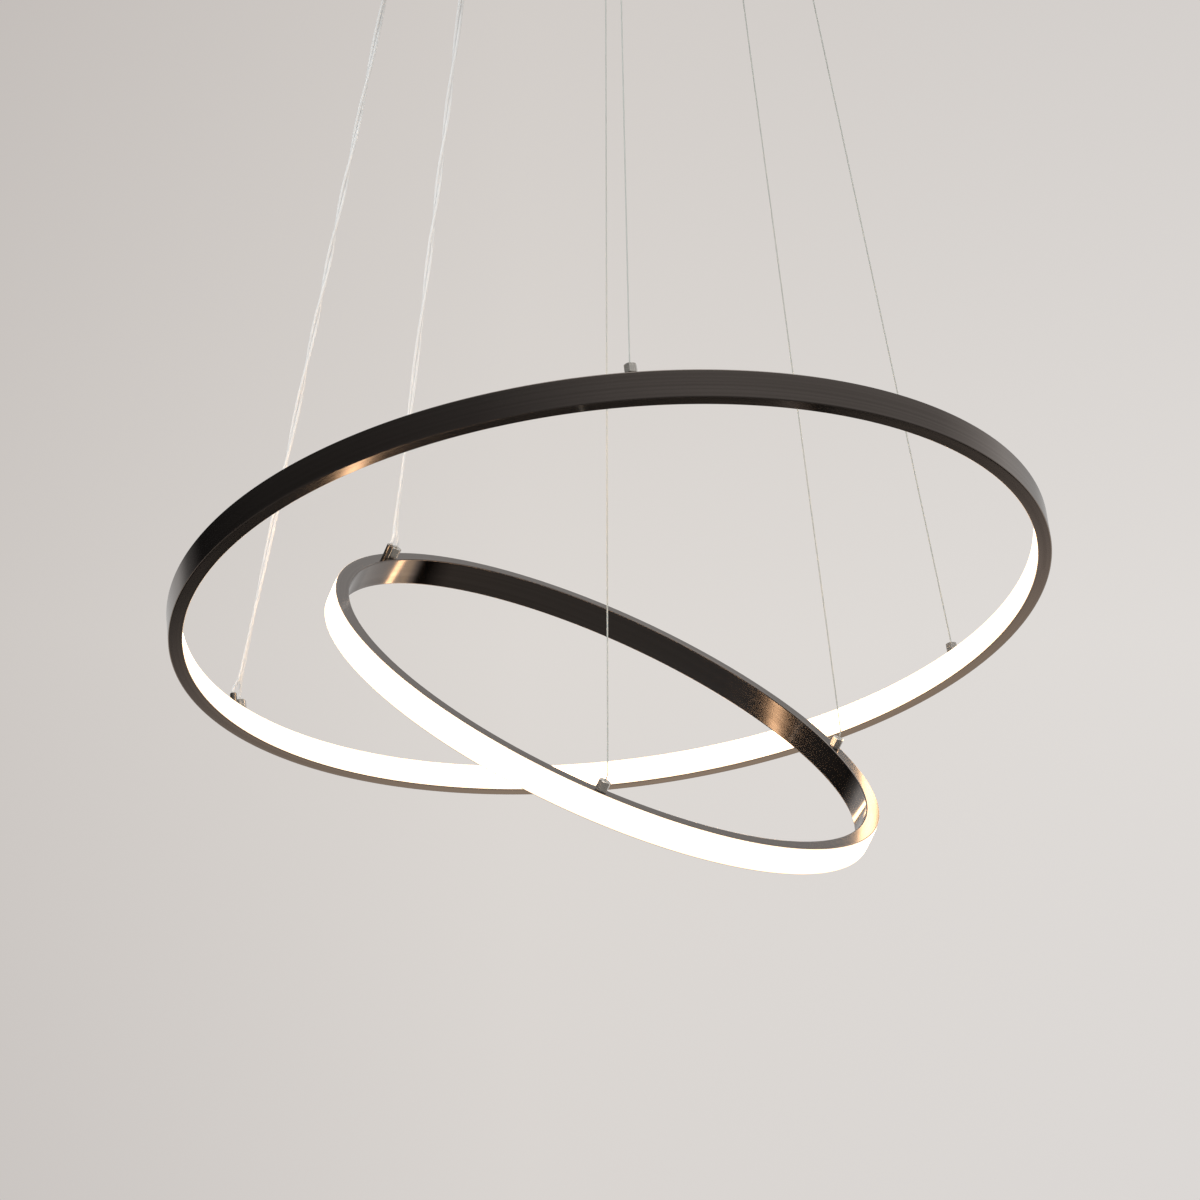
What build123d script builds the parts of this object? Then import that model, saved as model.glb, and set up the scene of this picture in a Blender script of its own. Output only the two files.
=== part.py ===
# Ceiling light of two tilted light rings, each hung on two steel wires and one clear flat cord.
# Origin: centre of the ceiling bracket's upper face. +Z is up, so everything hangs below z = 0.
# Lengths are in millimetres, angles in degrees.

import os
from math import cos, pi, radians, sin, sqrt, tan

from build123d import *

# Bent aluminium profile of both rings
large_ring_radius = 300.0
small_ring_radius = 200.0
profile_depth = 9.5
profile_height = 19.5
web_wall = 1.5
flange_wall = 1.2

# Diffuser and light tape inside the profile
diffuser_depth = 2.3
diffuser_proud = 0.5
diffuser_lap = 0.9
snap_clearance = 0.1
tape_thickness = 0.4
tape_width = 10.0
glue_gap = 0.1
led_pitch = 34.0
led_length = 3.5
led_width = 2.8
led_height = 0.8

# How the rings hang: the axis of each ring tips over towards its lean azimuth
large_ring_drop = 611.0
large_ring_shift = 2.8
large_ring_tilt = 18.4
large_ring_lean = 110.1
small_ring_drop = 683.0
small_ring_shift = -1.6
small_ring_tilt = 34.6
small_ring_lean = -44.9
line_azimuth = 153.5
line_spacing = 120.0

# Fittings that the lines run into, on top of each ring
bush_radius = 1.75
bush_flange_radius = 2.35
bush_flange_thickness = 1.0
bush_clearance = 0.1
wire_bush_bore = 0.8
core_bush_bore = 1.35
neck_radius = 3.0
neck_height = 0.8
nut_across_flats = 7.5
nut_height = 6.5
nut_chamfer = 0.7
nut_cap_thickness = 1.0
nut_thread_clearance = 0.05
core_barrel_radius = 2.4
core_barrel_height = 9.0
core_pitch = 9.0
stop_ball_radius = 1.3
core_ferrule_radius = 1.9
core_ferrule_length = 3.5
stop_clearance = 0.05

# Lines
wire_radius = 0.5
wire_tail = 45.0
wire_tail_level = 14.0
core_radius = 1.1
core_gap = 0.1
line_end_gap = 0.3
line_end_straight = 3.7
core_end_straight = 8.5
cord_split_length = 18.0
wire_bend_radius = 8.0
wire_tail_bend_radius = 5.0
cord_bend_radius = 12.0

# Canopy and ceiling bracket
canopy_radius = 175.0
canopy_height = 40.0
canopy_wall = 1.2
canopy_floor = 1.5
canopy_edge_radius = 2.5
line_hole_inset = 23.0
line_hole_step = 53.0
large_front_hole_turn = -1.4
small_front_hole_turn = -4.1
bracket_thickness = 2.0
bar_width = 30.0
cross_bar_length = 174.0
driver_plate_length = 142.0
driver_plate_width = 72.0
ear_drop = 24.0
ear_clearance = 0.2
ceiling_screw_circle = 150.0
ceiling_screw_hole_radius = 2.5
mains_hole_inset = 29.0
mains_hole_radius = 6.0

# Thumb screws that hold the canopy on the bracket's ears
side_screw_drop = 14.0
side_screw_radius = 2.0
side_screw_length = 9.0
side_screw_head_radius = 4.5
side_screw_head_height = 6.0
screw_clearance = 0.1

# Wire grippers
grip_barrel_radius = 6.0
grip_barrel_length = 8.0
grip_thread_radius = 5.0
grip_thread_length = 16.0
grip_lip = 2.0
grip_top_wall = 2.0
grip_cavity_radius = 3.2
grip_nut_across_flats = 14.0
grip_nut_height = 4.0
thread_clearance = 0.1
nozzle_radius = 2.5
nozzle_bore = 0.8
nozzle_reach = 4.0
nozzle_clearance = 0.1
plunger_head_radius = 3.0
plunger_head_height = 2.9
plunger_stop_gap = 0.1
spring_inner_radius = 2.1
spring_gap = 0.05

# Cord glands
gland_bore = 2.6
gland_thread_length = 10.0
gland_collar_height = 3.0
gland_stem_radius = 4.2
gland_stem_length = 6.0
gland_seal_radius = 3.3
gland_seal_bore = 2.45
gland_seal_length = 4.8
gland_cap_floor = 2.9
gland_cap_bore = 2.5

# Drivers and terminals inside the canopy
driver_length = 120.0
driver_width = 32.0
driver_height = 20.0
driver_corner_radius = 2.0
driver_gap = 3.0
driver_tab = 9.0
driver_tab_thickness = 1.5
driver_screw_radius = 1.5
driver_screw_head_radius = 2.8
driver_screw_head_height = 2.0
cord_block_margin = 8.0
cord_block_width = 20.0
cord_block_height = 12.0
cord_socket_radius = 2.5
cord_socket_depth = 6.0
mains_block_gap = 16.0
mains_block_length = 30.0
mains_block_width = 24.0
mains_block_height = 14.0
mains_socket_radius = 2.2
mains_socket_depth = 10.0
mains_socket_pitch = 7.0
lead_radius = 0.9
lead_level = 12.0
lead_inset = 5.0
lead_pitch = 3.0

os.makedirs("parts", exist_ok=True)

half_height = profile_height / 2
ring_phases = [line_azimuth, line_azimuth + line_spacing, line_azimuth + 2 * line_spacing]
pivot_level = canopy_height + grip_barrel_length + nozzle_reach + 2 * wire_radius
fitting_mouth = neck_height + nut_height
barrel_mouth = neck_height + core_barrel_height
grip_cavity_top = grip_thread_length - grip_top_wall
head_base = grip_lip - grip_barrel_length + plunger_stop_gap
core_offset = core_radius + core_gap / 2
large_hole_circle = canopy_radius - line_hole_inset
small_hole_circle = large_hole_circle - line_hole_step
mains_hole_offset = canopy_radius - mains_hole_inset
cord_block_inner = small_hole_circle - cord_block_margin
cord_block_outer = large_hole_circle + cord_block_margin
mains_block_inner = mains_hole_offset - mains_block_gap - mains_block_length


def direction(azimuth):
    """Level unit vector at an azimuth."""
    return Vector(cos(radians(azimuth)), sin(radians(azimuth)), 0)


def ring_frame(drop, shift, tilt, lean):
    """Plane through a ring's middle, tipped over towards its lean azimuth."""
    hinge = Axis((0, 0, 0), direction(lean + 90))
    return Plane(
        origin=(shift, 0, -drop),
        x_dir=Vector(1, 0, 0).rotate(hinge, tilt),
        z_dir=Vector(0, 0, 1).rotate(hinge, tilt),
    )


def rim_seat(frame, radius, phase):
    """Plane on the rim's top face over the middle of the profile, z along the ring's axis."""
    outward = frame.x_dir * cos(radians(phase)) + frame.y_dir * sin(radians(phase))
    middle = radius - profile_depth / 2
    return Plane(
        origin=frame.origin + outward * middle + frame.z_dir * half_height,
        x_dir=outward,
        z_dir=frame.z_dir,
    )


def line_hole(circle, azimuth):
    """Plane on the canopy's underside at the hole of one line, z up."""
    return Plane(
        origin=direction(azimuth) * circle - Vector(0, 0, canopy_height),
        x_dir=direction(azimuth),
        z_dir=(0, 0, 1),
    )


def both_wire_holes(circle, front_turn):
    """Holes of one ring's wires; the front one sits a little round from its even step."""
    front, right = ring_phases[1:]
    return [line_hole(circle, front + front_turn), line_hole(circle, right)]


def axial(plane):
    """Plane that holds another plane's axis: x is the radius, y the height along the axis."""
    return Plane(origin=plane.origin, x_dir=plane.x_dir, z_dir=-plane.y_dir)


def turned(plane, outline, mode=Mode.ADD):
    """Solid turned about a plane's axis from an outline of (radius, height) points."""
    with BuildSketch(axial(plane)) as half:
        with BuildLine():
            Polyline(*outline, close=True)
        make_face()
    revolve(half.sketch, axis=Axis(plane.origin, plane.z_dir), mode=mode)


def tube(name, points, radii, radius):
    """Round tube along straight runs joined by arcs, with its volume set against its length."""
    print(name, "bend radii", [round(bend, 1) for bend in radii])
    with BuildLine():
        route = FilletPolyline(*points, radius=radii)
    with BuildSketch(Plane(origin=route @ 0, z_dir=route % 0)) as section:
        Circle(radius)
    run = sweep(section.sketch, path=route, mode=Mode.PRIVATE)
    ratio = run.volume / (pi * radius**2 * route.length)
    print(name, "length", round(route.length, 1), "volume ratio", round(ratio, 4))
    add(run)


def corner_radius(before, corner, after, largest):
    """Largest arc that a corner's two runs allow, up to the size given."""
    first = corner - before
    second = after - corner
    shorter = min(first.length, second.length)
    return min(largest, 0.45 * shorter / tan(radians(first.get_angle(second)) / 2))


def save(name, builder):
    """Label a finished piece and write it under its own name."""
    builder.part.label = name
    export_step(builder.part, f"parts/{name}.step")


def channel_back(radius, faces_in):
    """Radius of the profile's back wall, and which way it opens from there."""
    return (radius, -1) if faces_in else (radius - profile_depth, 1)


def build_channel(name, frame, radius, faces_in, seats):
    """Bent channel with its holes for the bushes in the top flange."""
    back, way = channel_back(radius, faces_in)
    mouth = back + way * profile_depth
    web = back + way * web_wall
    inner = half_height - flange_wall
    with BuildPart() as channel:
        turned(frame, [
            (back, -half_height), (mouth, -half_height), (mouth, -inner), (web, -inner),
            (web, inner), (mouth, inner), (mouth, half_height), (back, half_height),
        ])
        for seat in seats:
            with BuildSketch(seat):
                Circle(bush_radius + bush_clearance)
            extrude(amount=-2 * flange_wall, mode=Mode.SUBTRACT)
    save(name + "_channel", channel)


def build_diffuser(name, frame, radius, faces_in):
    """Opal strip snapped between the flanges, with edges that lap over their lips."""
    back, way = channel_back(radius, faces_in)
    mouth = back + way * profile_depth
    face = mouth + way * diffuser_proud
    edge = mouth + way * snap_clearance
    rear = mouth - way * diffuser_depth
    inner = half_height - flange_wall
    reach = inner - snap_clearance
    lap = inner + diffuser_lap
    with BuildPart() as diffuser:
        turned(frame, [
            (rear, -reach), (edge, -reach), (edge, -lap), (face, -lap),
            (face, lap), (edge, lap), (edge, reach), (rear, reach),
        ])
    save(name + "_diffuser", diffuser)


def build_tape(name, frame, radius, faces_in):
    """Light tape on the back wall with its light-emitting chips."""
    back, way = channel_back(radius, faces_in)
    rear = back + way * (web_wall + glue_gap)
    face = rear + way * tape_thickness
    seated = led_height + tape_thickness / 2
    count = round(2 * pi * face / led_pitch)
    with BuildPart(frame) as tape:
        turned(frame, [
            (rear, -tape_width / 2), (face, -tape_width / 2),
            (face, tape_width / 2), (rear, tape_width / 2),
        ])
        with PolarLocations(face + way * (led_height - seated / 2), count):
            Box(seated, led_length, led_width)
    save(name + "_led_tape", tape)


def bush_outline(bore):
    """Flanged bush through the top flange, held from inside the profile."""
    base = -flange_wall - bush_flange_thickness
    top = fitting_mouth - nut_cap_thickness - nut_thread_clearance
    return [
        (bore, base), (bush_flange_radius, base), (bush_flange_radius, -flange_wall),
        (bush_radius, -flange_wall), (bush_radius, top), (bore, top),
    ]


def build_fittings(name, wire_seats, cord_seat, barrel_seat):
    """Bushes, hexagon nuts, cord barrel and the stops inside the profile of one ring."""
    with BuildPart() as bushes:
        for seat in wire_seats:
            turned(seat, bush_outline(wire_bush_bore))
        for seat in (cord_seat, barrel_seat):
            turned(seat, bush_outline(core_bush_bore))
    save(name + "_bushes", bushes)

    thread = bush_radius + nut_thread_clearance
    cap = fitting_mouth - nut_cap_thickness
    corner = nut_across_flats / sqrt(3)
    flat = nut_across_flats / 2
    with BuildPart() as nuts:
        for seat in (*wire_seats, cord_seat):
            with BuildSketch(seat.offset(neck_height)):
                RegularPolygon(radius=flat, side_count=6, major_radius=False)
            extrude(amount=nut_height)
            turned(seat, [(0, 0), (neck_radius, 0), (neck_radius, neck_height), (0, neck_height)])
        for seat in (*wire_seats, cord_seat):
            turned(seat, [(0, 0), (thread, 0), (thread, cap), (0, cap)], mode=Mode.SUBTRACT)
            turned(seat, [
                (flat - nut_chamfer / 2, fitting_mouth), (corner + nut_chamfer, fitting_mouth),
                (corner + nut_chamfer, fitting_mouth - nut_chamfer),
            ], mode=Mode.SUBTRACT)
        for seat in (*wire_seats, cord_seat):
            bore = core_bush_bore if seat is cord_seat else wire_bush_bore
            turned(seat, [
                (0, cap), (bore, cap), (bore, fitting_mouth), (0, fitting_mouth),
            ], mode=Mode.SUBTRACT)
    save(name + "_hex_nuts", nuts)

    with BuildPart() as barrel:
        turned(barrel_seat, [
            (thread, 0), (core_barrel_radius, 0), (core_barrel_radius, barrel_mouth - nut_chamfer),
            (core_barrel_radius - nut_chamfer, barrel_mouth), (core_bush_bore, barrel_mouth),
            (core_bush_bore, cap), (thread, cap),
        ])
    save(name + "_cord_barrel", barrel)

    flange_base = -flange_wall - bush_flange_thickness
    ball_centre = flange_base - stop_clearance - stop_ball_radius
    with BuildPart() as stops:
        for seat in wire_seats:
            with Locations(seat.offset(ball_centre)):
                Sphere(stop_ball_radius)
            with BuildSketch(seat.offset(ball_centre)):
                Circle(wire_radius)
            extrude(amount=fitting_mouth - ball_centre)
    save(name + "_wire_stops", stops)

    ferrule_top = flange_base - stop_clearance
    ferrule_base = ferrule_top - core_ferrule_length
    with BuildPart() as ferrules:
        for seat, mouth in ((cord_seat, fitting_mouth), (barrel_seat, barrel_mouth)):
            turned(seat, [
                (0, ferrule_base), (core_ferrule_radius, ferrule_base),
                (core_ferrule_radius, ferrule_top), (core_radius, ferrule_top),
                (core_radius, mouth), (0, mouth),
            ])
    save(name + "_core_ferrules", ferrules)


def build_wire(name, hole, seat):
    """Steel wire from its spare tail in the canopy, through the gripper, to the fitting's mouth."""
    pivot = hole.origin - Vector(0, 0, pivot_level - canopy_height)
    bend = hole.origin + Vector(0, 0, canopy_height - wire_tail_level)
    tail = bend + direction(line_azimuth) * wire_tail
    straight = seat.origin + seat.z_dir * (fitting_mouth + line_end_straight)
    end = seat.origin + seat.z_dir * (fitting_mouth + line_end_gap)
    points = [tail, bend, pivot, straight, end]
    largest = [wire_tail_bend_radius, wire_bend_radius, wire_bend_radius]
    radii = [
        corner_radius(points[i], points[i + 1], points[i + 2], largest[i])
        for i in range(len(largest))
    ]
    with BuildPart() as wire:
        tube(name, points, radii, wire_radius)
    save(name, wire)


def build_cord(name, hole, cord_seat, barrel_seat):
    """Clear flat cord of two round cores, from its terminal down to the ring, where they part."""
    sideways = hole.y_dir
    top = hole.origin + Vector(0, 0, canopy_height - bracket_thickness - cord_block_height)
    top += Vector(0, 0, cord_socket_depth - line_end_gap)
    pivot = hole.origin - Vector(0, 0, pivot_level - canopy_height)
    mouths = (
        (cord_seat.origin, cord_seat.z_dir, fitting_mouth, -1),
        (barrel_seat.origin, barrel_seat.z_dir, barrel_mouth, 1),
    )
    cord_mouth, barrel_top = (origin + axis * mouth for origin, axis, mouth, side in mouths)
    middle = (cord_mouth + barrel_top) * 0.5
    split = middle + (pivot - middle).normalized() * cord_split_length
    with BuildPart() as cord:
        for origin, axis, mouth, side in mouths:
            offset = sideways * (side * core_offset)
            points = [
                top + offset, pivot + offset, split + offset,
                origin + axis * (mouth + core_end_straight), origin + axis * (mouth + line_end_gap),
            ]
            largest = [cord_bend_radius, 2 * cord_bend_radius, 2 * core_end_straight]
            radii = [
                corner_radius(points[i], points[i + 1], points[i + 2], largest[i])
                for i in range(len(largest))
            ]
            tube(f"{name} core {side}", points, radii, core_radius)
    save(name, cord)


def build_gripper(name, hole):
    """Spring-loaded release nozzle of one wire gripper, and its spring."""
    with BuildPart() as plunger:
        tip = -grip_barrel_length - nozzle_reach
        turned(hole, [
            (nozzle_bore, tip), (nozzle_radius - nut_chamfer, tip), (nozzle_radius, tip + nut_chamfer),
            (nozzle_radius, head_base), (plunger_head_radius, head_base),
            (plunger_head_radius, head_base + plunger_head_height),
            (nozzle_bore, head_base + plunger_head_height),
        ])
    save(name + "_release", plunger)
    with BuildPart() as spring:
        low = head_base + plunger_head_height + spring_gap
        high = grip_cavity_top - spring_gap
        turned(hole, [
            (spring_inner_radius, low), (plunger_head_radius, low),
            (plunger_head_radius, high), (spring_inner_radius, high),
        ])
    save(name + "_spring", spring)


def build_ring(name, frame, radius, faces_in, hole_circle, front_turn):
    """One light ring with its fittings, its two wires with their grippers, and its cord."""
    cord_phase, *wire_phases = ring_phases
    pitch = core_pitch / (radius - profile_depth / 2) * 180 / pi
    wire_seats = [rim_seat(frame, radius, phase) for phase in wire_phases]
    cord_seat = rim_seat(frame, radius, cord_phase)
    barrel_seat = rim_seat(frame, radius, cord_phase + pitch)
    build_channel(f"{name}_ring", frame, radius, faces_in, [*wire_seats, cord_seat, barrel_seat])
    build_diffuser(f"{name}_ring", frame, radius, faces_in)
    build_tape(f"{name}_ring", frame, radius, faces_in)
    build_fittings(f"{name}_ring", wire_seats, cord_seat, barrel_seat)
    holes = both_wire_holes(hole_circle, front_turn)
    for label, seat, hole in zip(("front", "right"), wire_seats, holes):
        build_wire(f"{name}_wire_{label}", hole, seat)
        build_gripper(f"{name}_{label}_gripper", hole)
    build_cord(f"{name}_cord", line_hole(hole_circle, cord_phase), cord_seat, barrel_seat)
    pivots = [seat.origin + seat.z_dir * fitting_mouth for seat in (wire_seats[1], cord_seat)]
    print(f"{name} ring tilts about", [tuple(round(value, 4) for value in pivot) for pivot in pivots])


large_frame = ring_frame(large_ring_drop, large_ring_shift, large_ring_tilt, large_ring_lean)
small_frame = ring_frame(small_ring_drop, small_ring_shift, small_ring_tilt, small_ring_lean)
large_holes = (large_hole_circle, large_front_hole_turn)
small_holes = (small_hole_circle, small_front_hole_turn)
build_ring("large", large_frame, large_ring_radius, True, *large_holes)
build_ring("small", small_frame, small_ring_radius, False, *small_holes)

wire_holes = [*both_wire_holes(*large_holes), *both_wire_holes(*small_holes)]
cord_holes = [line_hole(circle, line_azimuth) for circle in (large_hole_circle, small_hole_circle)]
inside = Plane(origin=(0, 0, 0), x_dir=direction(line_azimuth), z_dir=(0, 0, 1))

# Wire gripper bodies with the cavity for the nozzle's head and spring
with BuildPart() as gripper_bodies:
    for hole in wire_holes:
        turned(hole, [
            (nozzle_radius + nozzle_clearance, -grip_barrel_length),
            (grip_barrel_radius - 2 * nut_chamfer, -grip_barrel_length),
            (grip_barrel_radius, -grip_barrel_length + 2 * nut_chamfer),
            (grip_barrel_radius, 0), (grip_thread_radius, 0),
            (grip_thread_radius, grip_thread_length),
            (nozzle_bore, grip_thread_length), (nozzle_bore, grip_cavity_top),
            (grip_cavity_radius, grip_cavity_top), (grip_cavity_radius, grip_lip - grip_barrel_length),
            (nozzle_radius + nozzle_clearance, grip_lip - grip_barrel_length),
        ])
save("wire_gripper_bodies", gripper_bodies)

# Cord glands: threaded body, rubber seal round the cord, and the cap that squeezes it
stem_base = -gland_collar_height - gland_stem_length
seal_room = gland_seal_length + snap_clearance
with BuildPart() as gland_bodies:
    for hole in cord_holes:
        turned(hole, [
            (gland_seal_radius + snap_clearance, stem_base), (gland_stem_radius, stem_base),
            (gland_stem_radius, -gland_collar_height),
            (grip_barrel_radius, -gland_collar_height), (grip_barrel_radius, 0),
            (grip_thread_radius, 0), (grip_thread_radius, gland_thread_length),
            (gland_bore, gland_thread_length), (gland_bore, stem_base + seal_room),
            (gland_seal_radius + snap_clearance, stem_base + seal_room),
        ])
save("cord_gland_bodies", gland_bodies)

with BuildPart() as gland_seals:
    for hole in cord_holes:
        turned(hole, [
            (gland_seal_bore, stem_base), (gland_seal_radius, stem_base),
            (gland_seal_radius, stem_base + gland_seal_length),
            (gland_seal_bore, stem_base + gland_seal_length),
        ])
save("cord_gland_seals", gland_seals)

cap_base = stem_base - gland_cap_floor
with BuildPart() as gland_caps:
    for hole in cord_holes:
        turned(hole, [
            (gland_cap_bore, cap_base), (grip_barrel_radius - 2 * nut_chamfer, cap_base),
            (grip_barrel_radius, cap_base + 2 * nut_chamfer),
            (grip_barrel_radius, -gland_collar_height),
            (gland_stem_radius + thread_clearance, -gland_collar_height),
            (gland_stem_radius + thread_clearance, stem_base), (gland_cap_bore, stem_base),
        ])
save("cord_gland_caps", gland_caps)

# Lock nuts on the canopy's floor, on every gripper and gland
with BuildPart() as lock_nuts:
    for hole in wire_holes + cord_holes:
        with BuildSketch(hole.offset(canopy_floor)):
            RegularPolygon(radius=grip_nut_across_flats / 2, side_count=6, major_radius=False)
            Circle(grip_thread_radius + nut_thread_clearance, mode=Mode.SUBTRACT)
        extrude(amount=grip_nut_height)
save("canopy_lock_nuts", lock_nuts)

# Canopy: a shallow cup with the six line holes and two side holes
side_planes = [
    Plane(
        origin=inside.from_local_coords(Vector(side * canopy_radius, 0, -side_screw_drop)),
        x_dir=(0, 0, 1),
        z_dir=inside.x_dir * side,
    )
    for side in (-1, 1)
]
inner_radius = canopy_radius - canopy_wall
with BuildPart() as canopy:
    turned(inside, [
        (0, -canopy_height), (canopy_radius, -canopy_height), (canopy_radius, 0), (inner_radius, 0),
        (inner_radius, canopy_floor - canopy_height), (0, canopy_floor - canopy_height),
    ])
    fillet(canopy.edges().group_by(Axis.Z)[0].sort_by(SortBy.LENGTH)[-1], canopy_edge_radius)
    for hole in wire_holes + cord_holes:
        with BuildSketch(hole):
            Circle(grip_thread_radius + thread_clearance)
        extrude(amount=canopy_floor, mode=Mode.SUBTRACT)
    for plane in side_planes:
        with BuildSketch(plane):
            Circle(side_screw_radius + screw_clearance)
        extrude(amount=-2 * canopy_wall, mode=Mode.SUBTRACT)
save("canopy_shell", canopy)

# Ceiling bracket: a cross with a plate for the drivers and an ear at each end of its long bar
ear_outside = sqrt((inner_radius - ear_clearance) ** 2 - (bar_width / 2) ** 2)
driver_row = driver_width / 2 + driver_gap / 2
tab_screw = driver_length / 2 + driver_tab / 2
block_screw = (small_hole_circle + large_hole_circle) / 2
mains_block_middle = -mains_block_inner - mains_block_length / 2
with BuildPart() as bracket:
    with BuildSketch(inside.offset(-bracket_thickness)):
        Rectangle(2 * ear_outside, bar_width)
        Rectangle(bar_width, cross_bar_length)
        Rectangle(driver_plate_length, driver_plate_width)
        with PolarLocations(ceiling_screw_circle / 2, 4):
            Circle(ceiling_screw_hole_radius, mode=Mode.SUBTRACT)
        with Locations((-mains_hole_offset, 0)):
            Circle(mains_hole_radius, mode=Mode.SUBTRACT)
        with GridLocations(2 * tab_screw, 2 * driver_row, 2, 2):
            Circle(driver_screw_radius + nut_thread_clearance, mode=Mode.SUBTRACT)
        with Locations((block_screw, 0), (mains_block_middle, 0)):
            Circle(driver_screw_radius + nut_thread_clearance, mode=Mode.SUBTRACT)
    extrude(amount=bracket_thickness)
    with BuildSketch(inside.offset(-ear_drop)):
        with GridLocations(2 * ear_outside - bracket_thickness, 0, 2, 1):
            Rectangle(bracket_thickness, bar_width)
    extrude(amount=ear_drop - bracket_thickness / 2)
    for plane in side_planes:
        with BuildSketch(plane):
            Circle(side_screw_radius + nut_thread_clearance)
        extrude(amount=-(canopy_radius - ear_outside + 2 * bracket_thickness), mode=Mode.SUBTRACT)
save("ceiling_bracket", bracket)

with BuildPart() as side_screws:
    for plane in side_planes:
        turned(plane, [
            (0, -side_screw_length), (side_screw_radius, -side_screw_length),
            (side_screw_radius, snap_clearance), (side_screw_head_radius, snap_clearance),
            (side_screw_head_radius, side_screw_head_height - nut_chamfer),
            (side_screw_head_radius - nut_chamfer, side_screw_head_height), (0, side_screw_head_height),
        ])
save("canopy_side_screws", side_screws)

# Drivers under the bracket's plate, each with a tab and a screw at both ends
tab_base = -bracket_thickness - driver_tab_thickness
for name, side in (("large_ring_driver", 1), ("small_ring_driver", -1)):
    row = side * driver_row
    with BuildPart() as driver:
        with BuildSketch(inside.offset(-bracket_thickness - driver_height)):
            with Locations((0, row)):
                RectangleRounded(driver_length, driver_width, driver_corner_radius)
        extrude(amount=driver_height)
        with BuildSketch(inside.offset(tab_base)):
            with Locations((0, row)):
                Rectangle(driver_length + 2 * driver_tab, driver_width / 2)
            with Locations((-tab_screw, row), (tab_screw, row)):
                Circle(driver_screw_radius + screw_clearance, mode=Mode.SUBTRACT)
        extrude(amount=driver_tab_thickness)
    save(name, driver)

# Terminal blocks under the ends of the bar
block_base = -bracket_thickness - cord_block_height
with BuildPart() as cord_block:
    with BuildSketch(inside.offset(block_base)):
        with Locations(((cord_block_inner + cord_block_outer) / 2, 0)):
            Rectangle(cord_block_outer - cord_block_inner, cord_block_width)
        with Locations((block_screw, 0)):
            Circle(driver_screw_radius + screw_clearance, mode=Mode.SUBTRACT)
    extrude(amount=cord_block_height)
    with BuildSketch(inside.offset(block_base)):
        with Locations((small_hole_circle, 0), (large_hole_circle, 0)):
            Circle(cord_socket_radius)
    extrude(amount=cord_socket_depth, mode=Mode.SUBTRACT)
save("cord_terminal_block", cord_block)

mains_base = -bracket_thickness - mains_block_height
with BuildPart() as mains_block:
    with BuildSketch(inside.offset(mains_base)):
        with Locations((mains_block_middle, 0)):
            Rectangle(mains_block_length, mains_block_width)
            Circle(driver_screw_radius + screw_clearance, mode=Mode.SUBTRACT)
    extrude(amount=mains_block_height)
    socket_face = Plane(
        origin=inside.from_local_coords(Vector(-mains_block_inner - mains_block_length, 0, -lead_level)),
        x_dir=inside.y_dir,
        z_dir=inside.x_dir,
    )
    with BuildSketch(socket_face):
        with GridLocations(mains_socket_pitch, 0, 3, 1):
            Circle(mains_socket_radius)
    extrude(amount=mains_socket_depth, mode=Mode.SUBTRACT)
save("mains_terminal_block", mains_block)

# Screws up through the driver tabs and the blocks into the bracket
fixings = [(x, y, tab_base) for x in (-tab_screw, tab_screw) for y in (-driver_row, driver_row)]
fixings += [(block_screw, 0, block_base), (mains_block_middle, 0, mains_base)]
with BuildPart() as fixing_screws:
    for x, y, seat_level in fixings:
        seat = Plane(origin=inside.from_local_coords(Vector(x, y, seat_level)), z_dir=(0, 0, 1))
        turned(seat, [
            (0, -driver_screw_head_height), (driver_screw_head_radius, -driver_screw_head_height),
            (driver_screw_head_radius, 0), (driver_screw_radius, 0),
            (driver_screw_radius, -seat_level - snap_clearance), (0, -seat_level - snap_clearance),
        ])
save("driver_and_block_screws", fixing_screws)

# Leads between the blocks and the drivers
for name, start, stop in (
    ("cord_leads", driver_length / 2, cord_block_inner),
    ("mains_leads", -mains_block_inner, -driver_length / 2),
):
    with BuildPart() as leads:
        lead_start = Plane(
            origin=inside.from_local_coords(Vector(start, 0, -lead_level)),
            x_dir=inside.y_dir,
            z_dir=inside.x_dir,
        )
        with BuildSketch(lead_start):
            with Locations(*[
                (side * (lead_inset + step * lead_pitch), 0) for side in (-1, 1) for step in (0, 1)
            ]):
                Circle(lead_radius)
        extrude(amount=stop - start)
    save(name, leads)
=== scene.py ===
from math import cos, degrees, pi, radians, sin

import bmesh
import bpy
import numpy as np
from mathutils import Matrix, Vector


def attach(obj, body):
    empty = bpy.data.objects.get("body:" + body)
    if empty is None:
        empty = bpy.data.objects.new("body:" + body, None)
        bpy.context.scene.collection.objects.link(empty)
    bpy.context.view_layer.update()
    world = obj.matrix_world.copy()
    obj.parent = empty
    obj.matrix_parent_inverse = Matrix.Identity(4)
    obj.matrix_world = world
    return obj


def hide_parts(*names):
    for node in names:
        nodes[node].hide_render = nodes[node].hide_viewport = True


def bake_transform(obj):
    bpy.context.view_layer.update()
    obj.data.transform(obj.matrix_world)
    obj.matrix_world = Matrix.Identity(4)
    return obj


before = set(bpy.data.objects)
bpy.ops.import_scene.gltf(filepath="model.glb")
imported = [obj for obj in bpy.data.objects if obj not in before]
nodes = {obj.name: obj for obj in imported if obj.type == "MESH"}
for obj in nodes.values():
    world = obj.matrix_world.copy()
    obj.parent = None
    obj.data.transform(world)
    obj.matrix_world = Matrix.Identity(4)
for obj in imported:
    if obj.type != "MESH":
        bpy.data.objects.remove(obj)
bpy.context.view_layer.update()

# the place and lens that the rings, nuts and lines of the photograph were fitted with
cameraView = {"place": (-0.0045, -2.6476, -1.0116), "pitch": 8.636, "lens": 118.32, "sensor": 36.0}
cameraData = bpy.data.cameras.new("camera")
cameraData.lens = cameraView["lens"]
cameraData.sensor_width = cameraView["sensor"]
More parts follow.
